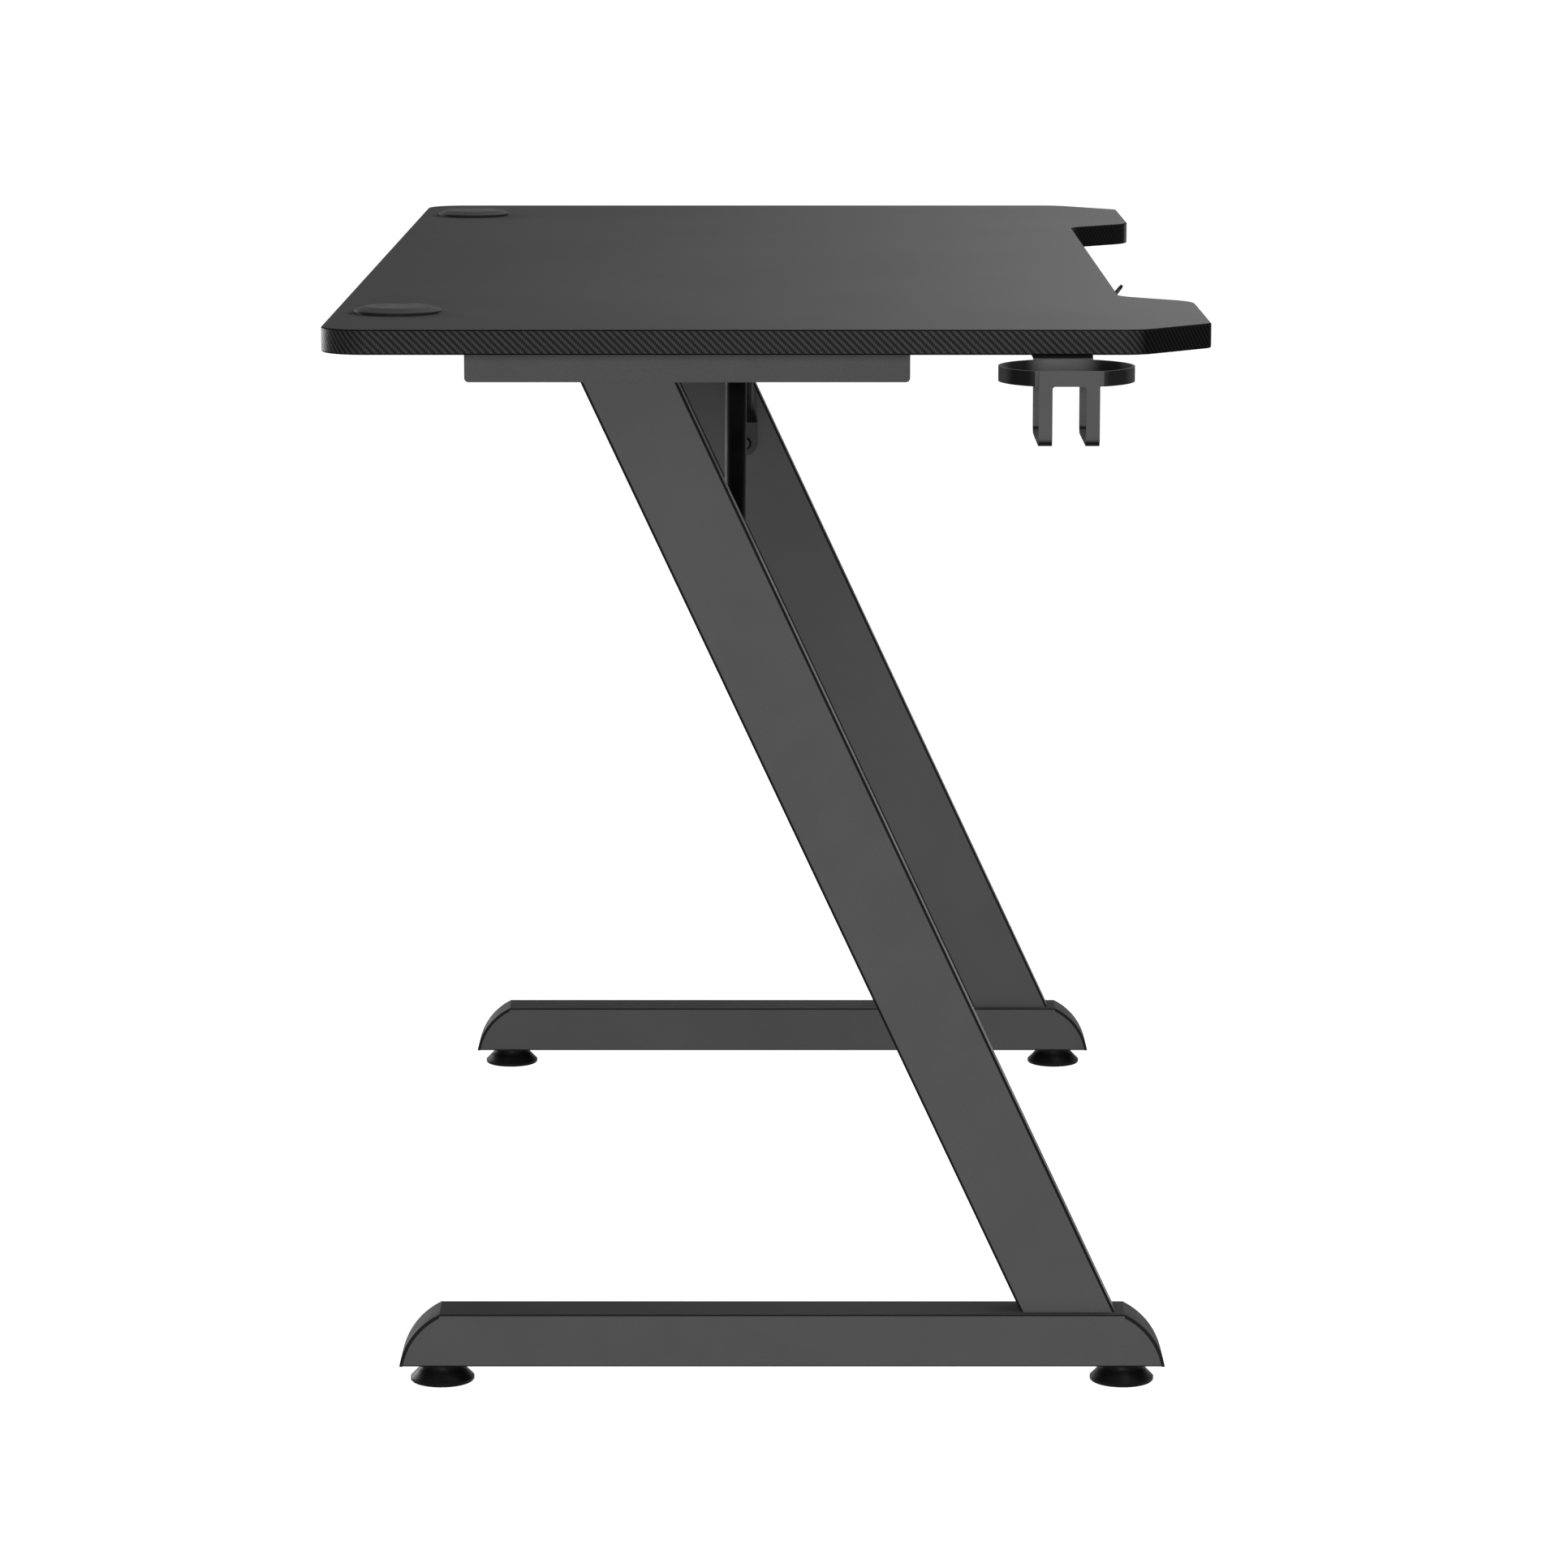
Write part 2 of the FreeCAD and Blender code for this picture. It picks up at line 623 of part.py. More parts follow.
def nose_core(name, end, inset):
    """Lying barrel that bounds a nose drawn in by an inset."""
    width = "foot_width + 2 * cut_overrun"
    barrel = cylinder(f"{name}_barrel", f"nose_radius - {inset}", width, f"-({width}) / 2",
                      f"{nose_tip(end)} - ({end}) * {NOSE_CENTRE_INWARD}", NOSE_CENTRE_LEVEL)
    return turn(barrel, FreeCAD.Vector(0, 1, 0), 90)


def nose_room(name, end, inset):
    """Space outside a nose that is drawn in by an inset."""
    length = "nose_run + cut_overrun"
    block = box(f"{name}_block", ("foot_width + 2 * cut_overrun", length, "foot_height + 2 * cut_overrun"),
                ("0", f"{nose_tip(end)} + ({end}) * (cut_overrun - nose_run) / 2",
                 "pad_height + foot_height / 2"))
    return cut(f"{name}_room", block, [nose_core(name, end, inset)])


def foot_bar(name, side):
    """Square tube with rounded noses, drilled for the levelling feet and the leg bolts."""
    front = nose_tip(ENDS["front"])
    rear = nose_tip(ENDS["rear"])
    tube = slab(f"{name}_foot_outside", "YZ_Plane", sharp(
        (front, "pad_height"), (rear, "pad_height"), (rear, FOOT_TOP), (front, FOOT_TOP)), "foot_width")
    round_edges(tube, "foot_corner_radius", lambda middle, along: abs(along.y) > math.sqrt(0.5))
    hollow = "2 * foot_wall"
    cuts = [box(f"{name}_foot_bore", (f"foot_width - {hollow}", "foot_length + 2 * cut_overrun",
                                      f"foot_height - {hollow}"),
                ("0", FOOT_MIDDLE_Y, "pad_height + foot_height / 2"))]
    depth = "foot_wall + 2 * cut_overrun"
    low = "pad_height - cut_overrun"
    high = f"{FOOT_TOP} - foot_wall - cut_overrun"
    for end_name, end in ENDS.items():
        cuts.append(nose_room(f"{name}_{end_name}_cut", end, "cap_thickness"))
        cuts.append(cylinder(f"{name}_{end_name}_stud_hole", "stud_diameter / 2 + fit_clearance", depth,
                             "0", pad_y(end), low))
    for number, y in enumerate(leg_bolt_places()):
        cuts.append(cylinder(f"{name}_foot_hole_{number}", "leg_bolt_diameter / 2 + fit_clearance", depth,
                             "0", y, high))
        cuts.append(cylinder(f"{name}_access_{number}", "foot_access_diameter / 2", depth, "0", y, low))
    keep(f"{name}_foot_bar", place(cut(f"{name}_foot_tube", tube, cuts), leg_x(side)))


def end_cap(name, side, end):
    """Curved cover of a foot bar's nose with the plug that holds it between the walls."""
    tip = nose_tip(end)
    middle_z = "pad_height + foot_height / 2"
    cover = box(f"{name}_cover", ("foot_width - 2 * cap_inset", "nose_run", "foot_height"),
                ("0", f"{tip} - ({end}) * nose_run / 2", middle_z))
    shell = cut(f"{name}_shell", cover, [nose_room(f"{name}_outer", end, "0"),
                                         nose_core(f"{name}_inner", end, "cap_thickness")])
    length = "pad_from_end - nut_width / sqrt(3) - cap_plug_gap"
    inside = "2 * foot_wall - 2 * fit_clearance"
    plug = box(f"{name}_plug", (f"foot_width - {inside}", length, f"foot_height - {inside}"),
               ("0", f"{tip} - ({end}) * ({length}) / 2", middle_z))
    trimmed = cut(f"{name}_plug_trim", plug, [nose_room(f"{name}_plug", end, "cap_thickness / 2")])
    keep(f"{name}_end_cap", place(fuse(f"{name}_cap", [shell, trimmed]), leg_x(side)))


def levelling_foot(name, side, end):
    """Pad moulded on a threaded stud, and the weld nut inside the foot bar that the stud runs in."""
    spot = (leg_x(side), pad_y(end))
    stud_low = "pad_height - stud_socket"
    pad = turned(f"{name}_pad", [
        ("0", "0", "0"), ("pad_diameter / 2 - pad_edge", "0", "0"), ("pad_diameter / 2", "pad_edge", "0"),
        ("pad_diameter / 2", "pad_rim - pad_edge", "0"), ("pad_diameter / 2 - pad_edge", "pad_rim", "0"),
        ("pad_neck_diameter / 2", "pad_neck_height", "pad_flare_radius"),
        ("pad_neck_diameter / 2", "pad_height", "0"),
        ("stud_diameter / 2", "pad_height", "0"), ("stud_diameter / 2", stud_low, "0"), ("0", stud_low, "0"),
    ])
    keep(f"{name}_leveller_pad", place(pad, *spot))
    stud = cylinder(f"{name}_stud", "stud_diameter / 2", "stud_socket + stud_reach", *spot, stud_low)
    keep(f"{name}_leveller_stud", stud)
    nut = hexagon_nut(f"{name}_nut", "nut_width", "nut_height", "stud_diameter / 2 + thread_clearance")
    keep(f"{name}_weld_nut", place(nut, *spot, "pad_height + foot_wall"))


def tube_section(name, kind, x, level, tilt, **radii):
    """Section of the brace tube, turned in the brace's upright plane."""
    section = place(add(kind, name, **radii), x, BRACE_Y, level)
    section.Placement.Rotation = FreeCAD.Rotation(90, 0, tilt)
    return section


def flare(name, flat, round_section):
    """Tube wall between a flattened end and the round tube."""
    skin = doc.addObject("Part::Loft", name)
    skin.Sections = [flat, round_section]
    skin.Solid = True
    return skin


def brace(name, side):
    """Round tube with flattened ends, from the leg up to the board, with its fasteners."""
    across = FreeCAD.Vector(0, 1, 0)
    inward = f"({-side})"
    tilt = -side * value("brace_angle")
    face = f"({leg_x(side)} + {inward} * leg_thickness / 2)"
    low_x = f"({face} + {inward} * brace_tab_thickness / 2)"
    top_x = f"({low_x} + {inward} * {BRACE_RISE} * tan(brace_angle))"
    end_x = brace_screw_place(side)[0]
    run = "brace_flare * sin(brace_angle)"
    climb = "brace_flare * cos(brace_angle)"
    oval = {"MajorRadius": "brace_tab_width / 2", "MinorRadius": "brace_tab_thickness / 2"}
    radius = "brace_diameter / 2"
    start = (f"{low_x} + {inward} * {run}", f"{BRACE_BEND_LEVEL} + {climb}")
    finish = (f"{top_x} - {inward} * {run}", f"{BRACE_TOP_LEVEL} - {climb}")
    sections = [
        tube_section(f"{name}_low_flat", "Part::Ellipse", low_x, BRACE_BEND_LEVEL, 0, **oval),
        tube_section(f"{name}_low_round", "Part::Circle", *start, tilt, Radius=radius),
        tube_section(f"{name}_top_round", "Part::Circle", *finish, tilt, Radius=radius),
        tube_section(f"{name}_top_flat", "Part::Ellipse", top_x, BRACE_TOP_LEVEL, -90 * side, **oval),
    ]
    tube = cylinder(f"{name}_tube", radius, f"{BRACE_RISE} / cos(brace_angle) - 2 * brace_flare",
                    start[0], BRACE_Y, start[1])
    turn(tube, across, tilt)
    tab = "brace_tab_thickness"
    low_disc = cylinder(f"{name}_low_disc", "brace_tab_width / 2", tab, face, BRACE_Y, BRACE_BOLT_LEVEL)
    turn(low_disc, across, -90 * side)
    low_tab = box(f"{name}_low_tab", (tab, "brace_tab_width", "brace_bend_rise"),
                  (low_x, BRACE_Y, f"{BRACE_BOLT_LEVEL} + brace_bend_rise / 2"))
    top_disc = cylinder(f"{name}_top_disc", "brace_tab_width / 2", tab, end_x, BRACE_Y,
                        f"{UNDERSIDE} - {tab}")
    top_tab = box(f"{name}_top_tab", ("brace_tab_length", "brace_tab_width", tab),
                  (f"{top_x} + {inward} * brace_tab_length / 2", BRACE_Y, BRACE_TOP_LEVEL))
    whole = fuse(f"{name}_brace_blank", [
        low_disc, low_tab, flare(f"{name}_low_flare", sections[0], sections[1]), tube,
        flare(f"{name}_top_flare", sections[3], sections[2]), top_tab, top_disc])
    bolt_hole = cylinder(f"{name}_brace_bolt_hole", "brace_bolt_diameter / 2 + fit_clearance",
                         f"{tab} + 2 * cut_overrun", f"{face} - {inward} * cut_overrun", BRACE_Y,
                         BRACE_BOLT_LEVEL)
    turn(bolt_hole, across, -90 * side)
    screw_hole = cylinder(f"{name}_brace_screw_hole", "screw_diameter / 2 + fit_clearance",
                          f"{tab} + 2 * cut_overrun", end_x, BRACE_Y, f"{UNDERSIDE} - {tab} - cut_overrun")
    keep(f"{name}_brace", cut(f"{name}_brace_cut", whole, [bolt_hole, screw_hole]))
    bolt = headed(f"{name}_bolt", "brace_bolt_head", "brace_bolt_head_height", "brace_bolt_diameter",
                  f"{tab} + leg_wall + brace_nut_height + brace_bolt_end")
    place(bolt, f"{face} + {inward} * {tab}", BRACE_Y, BRACE_BOLT_LEVEL)
    keep(f"{name}_brace_bolt", turn(bolt, across, 90 * side))
    nut = hexagon_nut(f"{name}_leg_nut", "brace_nut_width", "brace_nut_height",
                      "brace_bolt_diameter / 2 + thread_clearance")
    place(nut, f"{face} - {inward} * leg_wall", BRACE_Y, BRACE_BOLT_LEVEL)
    keep(f"{name}_brace_nut", turn(nut, across, 90 * side))
    keep(f"{name}_brace_screw", wood_screw(f"{name}_top_screw", (end_x, BRACE_Y), tab))


def cup_ring():
    """Round band that holds the cup, flattened where the cradle's front plate lies on it."""
    height = "cup_band_height"
    outer = cylinder("ring_outer", "cup_radius", height)
    inner = cylinder("ring_inner", "cup_radius - cup_sheet", f"{height} + 2 * cut_overrun", z="-cut_overrun")
    outer_limit = box("ring_outer_limit", (f"{CUP_FLAT} + cup_radius", "2 * cup_radius", height),
                      (f"(cup_radius - {CUP_FLAT}) / 2", "0", "cup_band_height / 2"))
    inner_limit = box("ring_inner_limit", (f"{CUP_FLAT} - cup_sheet + cup_radius", "2 * cup_radius",
                                           f"{height} + 2 * cut_overrun"),
                      (f"(cup_radius - {CUP_FLAT} + cup_sheet) / 2", "0", "cup_band_height / 2"))
    shapes = []
    for name, pair in {"ring_body": (outer, outer_limit), "ring_mouth": (inner, inner_limit)}.items():
        shape = doc.addObject("Part::MultiCommon", name)
        shape.Shapes = list(pair)
        shapes.append(shape)
    ring = cut("ring", shapes[0], [shapes[1]])
    keep("cup_ring", place(ring, CUP_X, CUP_Y, f"{CUP_TOP} - cup_band_height"))


def cup_cradle():
    """One bent strip: flange under the board, back plate, two straps under the cup and front plate."""
    low = f"({CUP_TOP} - cup_band_height - cup_prong_length)"
    flange_end = f"{CUP_BACK} + cup_flange_length"
    inner_bend = "cup_bend_radius - cup_sheet"
    inner_fold = "cup_fold_radius - cup_sheet"
    strip = slab("cradle_strip", "XZ_Plane", [
        (flange_end, UNDERSIDE, "0"), ("cup_radius", UNDERSIDE, "cup_fold_radius"),
        ("cup_radius", f"{low} + cup_sheet", inner_bend), (f"-{CUP_FLAT}", f"{low} + cup_sheet", inner_bend),
        (f"-{CUP_FLAT}", CUP_TOP, "0"), (f"-{CUP_FACE}", CUP_TOP, "0"),
        (f"-{CUP_FACE}", low, "cup_bend_radius"), (CUP_BACK, low, "cup_bend_radius"),
        (CUP_BACK, f"{UNDERSIDE} - cup_sheet", inner_fold), (flange_end, f"{UNDERSIDE} - cup_sheet", "0"),
    ], "cup_plate_width")
    high = value(f"{CUP_TOP} - cup_sheet")
    round_edges(strip, "cup_plate_radius",
                lambda middle, along: abs(along.x) > math.sqrt(0.5) and middle.x < 0 and middle.z > high)
    half = "(cup_plate_width / 2 - cup_prong_width)"
    top = f"{CUP_TOP} - cup_band_height"
    bottom = f"{low} - cut_overrun"
    window = slab("cradle_window", "YZ_Plane", [
        (f"-{half}", bottom, "0"), (half, bottom, "0"), (half, top, "cup_window_radius"),
        (f"-{half}", top, "cup_window_radius"),
    ], f"2 * ({CUP_BACK} + cut_overrun)")
    cradle = place(cut("cradle", strip, [window]), CUP_X, CUP_Y)
    holes = [cylinder(f"cradle_hole_{number}", "screw_diameter / 2 + fit_clearance",
                      "cup_sheet + 2 * cut_overrun", x, y, f"{UNDERSIDE} - cup_sheet - cut_overrun")
             for number, (x, y) in enumerate(cup_screw_places())]
    keep("cup_cradle", cut("cradle_drilled", cradle, holes))
    screws = [wood_screw(f"cradle_screw_{number}", spot, "cup_sheet")
              for number, spot in enumerate(cup_screw_places())]
    keep("cup_screws", group("cradle_screws", screws))


def headphone_hook():
    """Bent strip: flange under the board, drop, floor and slanted lip."""
    face = HOOK_FACE_Y
    rear_face = f"{HOOK_FACE_Y} + hook_sheet"
    low = f"({UNDERSIDE} - hook_drop)"
    inner_low = f"{low} + hook_sheet"
    toe = f"({face} - hook_floor)"
    crease = "hook_sheet * tan(hook_lip_angle / 2)"
    lip_y = f"({toe} - hook_lip_length * cos(hook_lip_angle))"
    lip_z = f"({low} + hook_lip_length * sin(hook_lip_angle))"
    back_y = "hook_sheet * sin(hook_lip_angle)"
    back_z = "hook_sheet * cos(hook_lip_angle)"
    inner_bend = "hook_bend_radius - hook_sheet"
    strip = slab("hook_strip", "YZ_Plane", [
        (f"{face} + hook_flange_length", f"{UNDERSIDE} - hook_sheet", "0"),
        (f"{face} + hook_flange_length", UNDERSIDE, "0"),
        (face, UNDERSIDE, "hook_bend_radius"),
        (face, inner_low, inner_bend),
        (f"{toe} + {crease}", inner_low, inner_bend),
        (f"{lip_y} + {back_y}", f"{lip_z} + {back_z}", "0"),
        (lip_y, lip_z, "0"),
        (toe, low, "hook_bend_radius"),
        (rear_face, low, "hook_bend_radius"),
        (rear_face, f"{UNDERSIDE} - hook_sheet", inner_bend),
    ], "hook_width")
    limit = value(f"{lip_y} + hook_sheet")
    round_edges(strip, "hook_tip_radius",
                lambda middle, along: abs(along.x) < math.sqrt(0.5) and middle.y < limit)
    place(strip, HOOK_X)
    holes = [cylinder(f"hook_hole_{number}", "screw_diameter / 2 + fit_clearance",
                      "hook_sheet + 2 * cut_overrun", x, y, f"{UNDERSIDE} - hook_sheet - cut_overrun")
             for number, (x, y) in enumerate(hook_screw_places())]
    keep("headphone_hook", cut("hook_drilled", strip, holes))
    screws = [wood_screw(f"hook_screw_{number}", spot, "hook_sheet")
              for number, spot in enumerate(hook_screw_places())]
    keep("hook_screws", group("hook_screw_pair", screws))


def check_document():
    """Stop on any object that failed or any sub-part without a sound solid."""
    failed = [thing.Label for thing in doc.Objects if {"Invalid", "Error"} & set(thing.State)]
    if failed:
        raise RuntimeError(f"failed objects: {failed}")
    for name, thing in parts.items():
        if thing.Shape.isNull() or not thing.Shape.isValid() or not thing.Shape.Solids:
            raise RuntimeError(f"unsound shape: {name}")


parts = {}
worktop()
for side_name, side_sign in SIDES.items():
    grommet(side_name, side_sign)
    top_bracket(side_name, side_sign)
    leg(side_name, side_sign)
    foot_bar(side_name, side_sign)
    brace(side_name, side_sign)
    for end_name, end_sign in ENDS.items():
        end_cap(f"{side_name}_{end_name}", side_sign, end_sign)
        levelling_foot(f"{side_name}_{end_name}", side_sign, end_sign)
cup_ring()
cup_cradle()
headphone_hook()
doc.recompute()
check_document()
os.makedirs("parts", exist_ok=True)
for part_name, part in parts.items():
    part.Shape.exportStep(f"parts/{part_name}.step")
    print(part_name, len(part.Shape.Solids), round(part.Shape.Volume, 1))
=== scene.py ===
import bpy
import json
import math
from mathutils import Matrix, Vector


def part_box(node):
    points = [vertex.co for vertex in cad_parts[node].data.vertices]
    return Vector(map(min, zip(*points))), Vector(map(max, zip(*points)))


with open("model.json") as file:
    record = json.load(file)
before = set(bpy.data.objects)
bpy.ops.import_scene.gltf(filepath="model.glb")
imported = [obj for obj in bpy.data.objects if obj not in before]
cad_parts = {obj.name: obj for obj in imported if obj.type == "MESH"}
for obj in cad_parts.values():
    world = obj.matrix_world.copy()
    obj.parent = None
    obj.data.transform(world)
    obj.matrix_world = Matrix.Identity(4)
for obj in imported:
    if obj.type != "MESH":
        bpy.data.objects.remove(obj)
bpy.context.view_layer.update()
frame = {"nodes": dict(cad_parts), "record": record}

# Places that the finishes, lamps and camera follow, in metres
MM = 0.001
BAND_LOW, BAND_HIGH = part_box("edge_band")
MIDDLE_X = (BAND_LOW.x + BAND_HIGH.x) / 2
TOP_LEVEL = BAND_HIGH.z
UNDERSIDE = BAND_LOW.z
BACKING_DEPTH = 0.5 * MM

# Heights close under the board over which a flange is painted dark, as painted shade from the board
# above it
SHADED_SPAN = (UNDERSIDE - 2.0 * MM, UNDERSIDE - 1.4 * MM)

# How far the levelling feet slide out, below the level of the pads at rest
JOINTS = frame["record"]["behaviour"]["joints"]
FEET_REACH = max(joint["range_m"][1] for joint in JOINTS if joint["type"] == "slide")

# Twill of the edge band: threads along the board's depth, each over two and under two
REPEATS_IN_DEPTH = 117
THREADS_IN_REPEAT = 4
THREADS_OVER = 2
THREAD = (BAND_HIGH.y - BAND_LOW.y) / REPEATS_IN_DEPTH / THREADS_IN_REPEAT

LEG_LEAN = math.radians(25)
WHITE = (1, 1, 1, 1)

# Stretches of a noise over which a finish changes, each with a higher start than the one before
WIDE = (0.3, 0.7)
MIDDLE = (0.35, 0.7)
UPPER = (0.4, 0.7)

# Sockets of the Mix node that carry colours
COLOUR_A, COLOUR_B, COLOUR_RESULT = 6, 7, 2


class Finish:
    """Node material around one Principled shader, in the part's own coordinates."""

    def __init__(self, name, **sockets):
        self.material = bpy.data.materials.new(name)
        self.material.use_nodes = True
        self.tree = self.material.node_tree
        self.shader = self.tree.nodes["Principled BSDF"]
        coords = self.tree.nodes.new("ShaderNodeTexCoord")
        self.place = coords.outputs["Object"]
        self.facing = coords.outputs["Normal"]
        self.set(**sockets)

    def feed(self, given, socket):
        """Link an output to a socket, or set the socket to a plain value."""
        if isinstance(given, bpy.types.NodeSocket):
            self.tree.links.new(given, socket)
        else:
            socket.default_value = given

    def set(self, **sockets):
        """Fill sockets of the shader by name, with an underscore for each space."""
        for key, given in sockets.items():
            self.feed(given, self.shader.inputs[key.replace("_", " ")])

    def add(self, kind, *inputs, **settings):
        """New node with its first inputs filled in order."""
        node = self.tree.nodes.new(kind)
        for key, given in settings.items():
            setattr(node, key, given)
        for socket, given in zip(node.inputs, inputs):
            self.feed(given, socket)
        return node

    def math(self, operation, *numbers):
        return self.add("ShaderNodeMath", *numbers, operation=operation).outputs[0]

    def vector(self, operation, *vectors):
        return self.add("ShaderNodeVectorMath", *vectors, operation=operation).outputs[0]

    def split(self, vector):
        return self.add("ShaderNodeSeparateXYZ", vector).outputs

    def ramp(self, given, span, levels=(0.0, 1.0)):
        """Smooth step from one level to another over a span of the input."""
        kind = "ShaderNodeMapRange"
        return self.add(kind, given, *span, *levels, interpolation_type="SMOOTHSTEP").outputs[0]

    def noise(self, size, detail=2.0, stretch=(1, 1, 1)):
        """Noise whose features have about one size."""
        where = self.vector("MULTIPLY", self.place, [1 / (size * share) for share in stretch])
        node = self.add("ShaderNodeTexNoise", where)
        node.inputs["Scale"].default_value = 1.0
        node.inputs["Detail"].default_value = detail
        return node.outputs[0]

    def mix(self, share, first, second):
        """Colour between two, by a share."""
        node = self.add("ShaderNodeMix", share, data_type="RGBA")
        self.feed(first, node.inputs[COLOUR_A])
        self.feed(second, node.inputs[COLOUR_B])
        return node.outputs[COLOUR_RESULT]

    def mottle(self, pattern, level, spread):
        """Grey that a pattern carries from darker to lighter about one level."""
        darker, lighter = grey(level * (1 - spread)), grey(level * (1 + spread))
        return self.mix(self.ramp(pattern, WIDE), darker, lighter)

    def bump(self, height, depth, strength=0.5):
        node = self.add("ShaderNodeBump", strength, depth)
        self.tree.links.new(height, node.inputs["Height"])
        return node.outputs[0]

    def turned(self, lean, span):
        """One on the rounded edges of a square section, zero on its flat faces."""
        facing = self.facing
        if lean:
            rotation = self.add("ShaderNodeVectorRotate", facing, rotation_type="X_AXIS")
            rotation.inputs["Angle"].default_value = lean
            facing = rotation.outputs[0]
        x, y, z = self.split(self.vector("ABSOLUTE", facing))
        most = self.math("MAXIMUM", self.math("MAXIMUM", x, y), z)
        return self.ramp(most, span, levels=(1.0, 0.0))


def grey(level, warmth=0.0):
    return (level * (1 + warmth), level, level * (1 - warmth), 1.0)


def powder_coat(name, level, front_light_share=1.3, front_gloss=0.32, shaded_share=None, lean=0.0,
                edge_span=(0.80, 0.985)):
    """Fine powder coat, with painted shade on the rounded edges and the tops, a painted tone on the
    front faces (painted light above a share of one, painted shade below), and painted shade close under
    the board when a share is given.
    """
    cloud_share, top_shade_share, edge_shade_share = 0.88, 0.72, 0.12
    f = Finish(name, Specular_IOR_Level=0.015)
    grain = f.noise(size=0.5 * MM)
    cloud = f.noise(size=40 * MM, detail=4.0)
    clouded = f.ramp(cloud, MIDDLE, levels=(0.0, 0.3))
    _, ny, nz = f.split(f.facing)
    # Front faces get a painted tone scaled by the front share: painted light where it is above one,
    # painted shade where it is below
    front_lit = f.ramp(ny, span=(-0.88, -0.6), levels=(1.0, 0.0))
    # Faces turned up are painted darker: painted shade
    top = f.ramp(nz, span=(0.80, 0.97))
    tone = f.mottle(grain, level, spread=0.10)
    tone = f.mix(clouded, tone, grey(level * cloud_share, warmth=0.01))
    tone = f.mix(front_lit, tone, grey(level * front_light_share))
    tone = f.mix(top, tone, grey(level * top_shade_share))
    # Rounded edges painted dark: painted shade in place of the dark reflections along the fillets
    tone = f.mix(f.turned(lean, edge_span), tone, grey(level * edge_shade_share))
    # Painted shade: pieces close under the board turn dark, as if shaded by it
    if shaded_share is not None:
        shaded = f.ramp(f.split(f.place)[2], SHADED_SPAN)
        tone = f.mix(shaded, tone, grey(level * shaded_share))
    rough = f.ramp(cloud, WIDE, levels=(0.72, 0.82))
    rough = f.math("SUBTRACT", rough, f.math("MULTIPLY", front_lit, front_gloss))
    f.set(Base_Color=tone, Roughness=rough, Normal=f.bump(grain, depth=0.03 * MM))
    return f.material


def laminate():
    """Matte top sheet with a fine pressed grain."""
    f = Finish("laminate_grain", Specular_IOR_Level=0.01)
    grain = f.noise(size=0.5 * MM)
    cloud = f.noise(size=160 * MM, detail=3.0)
    clouded = f.ramp(cloud, MIDDLE, levels=(0.0, 0.2))
    tone = f.mix(clouded, f.mottle(grain, level=0.085, spread=0.06), grey(0.082, warmth=0.005))
    f.set(Base_Color=tone, Roughness=f.ramp(cloud, WIDE, levels=(0.84, 0.92)))
    f.set(Normal=f.bump(grain, depth=0.02 * MM, strength=0.3))
    return f.material


def woven_band():
    """Edge band with a two-by-two twill of dark fibre, which runs on round the corners, with painted
    shade on the chamfers, on the top and bottom roundings and along the sides of each thread.
    """
    turn_limit, crown_span = 0.02, (0.0, 0.9)
    rough, warp_gloss = 0.48, 0.10
    f = Finish("woven_band", Specular_IOR_Level=0.04)
    x, y, z = f.split(f.vector("SUBTRACT", f.place, BAND_LOW))
    nx, ny, nz = f.split(f.facing)
    run = []
    for n, along in ((ny, x), (nx, y)):
        ahead = f.math("GREATER_THAN", n, turn_limit)
        back = f.math("LESS_THAN", n, -turn_limit)
        run.append(f.math("MULTIPLY", f.math("SUBTRACT", ahead, back), along))
    u = f.math("DIVIDE", f.math("SUBTRACT", *run), THREAD)
    v = f.math("DIVIDE", z, THREAD)
    step = f.math("SUBTRACT", f.math("FLOOR", u), f.math("FLOOR", v))
    warp = f.math("LESS_THAN", f.math("FLOORED_MODULO", step, THREADS_IN_REPEAT), THREADS_OVER)
    weft = f.math("SUBTRACT", 1.0, warp)
    crown_u = f.math("SINE", f.math("MULTIPLY", f.math("FRACT", u), math.pi))
    crown_v = f.math("SINE", f.math("MULTIPLY", f.math("FRACT", v), math.pi))
    crown = f.math("ADD", f.math("MULTIPLY", warp, crown_u), f.math("MULTIPLY", weft, crown_v))
    # Threads painted darker at their sides than on their crowns: painted shade of each thread's
    # roundness
    crown_shading = f.ramp(crown, crown_span)
    fibre = f.noise(size=0.16 * MM, stretch=(1, 1, 6))
    dark = f.mix(crown_shading, grey(0.002), grey(0.005))
    light = f.mix(crown_shading, grey(0.012), f.mottle(fibre, level=0.030, spread=0.25))
    # Chamfers and corners that turn from the light are painted nearly black, with the twill faint:
    # painted shade
    sideways = f.math("MAXIMUM", f.math("ABSOLUTE", nx), f.math("ABSOLUTE", ny))
    rear = f.math("GREATER_THAN", ny, turn_limit)
    shown = f.math("MAXIMUM", f.ramp(sideways, span=(0.86, 0.985)), rear)
    # Top and bottom roundings painted dark: painted shade in place of their reflections
    rounding_shade = f.ramp(f.math("ABSOLUTE", nz), span=(0.10, 0.30))
    top = f.ramp(nz, span=(0.90, 0.98))
    chamfer_shade = f.mix(warp, grey(0.0005), grey(0.005))
    tone = f.mix(shown, chamfer_shade, f.mix(warp, dark, light))
    tone = f.mix(rounding_shade, tone, grey(0.003))
    tone = f.mix(top, tone, grey(0.082))
    gloss = f.math("SUBTRACT", rough, f.math("MULTIPLY", warp, warp_gloss))
    matte = f.math("MAXIMUM", rounding_shade, f.math("SUBTRACT", 1.0, shown))
    f.set(Base_Color=tone, Roughness=f.math("MAXIMUM", gloss, matte))
    f.set(Normal=f.bump(crown, depth=0.05 * MM, strength=0.4))
    return f.material


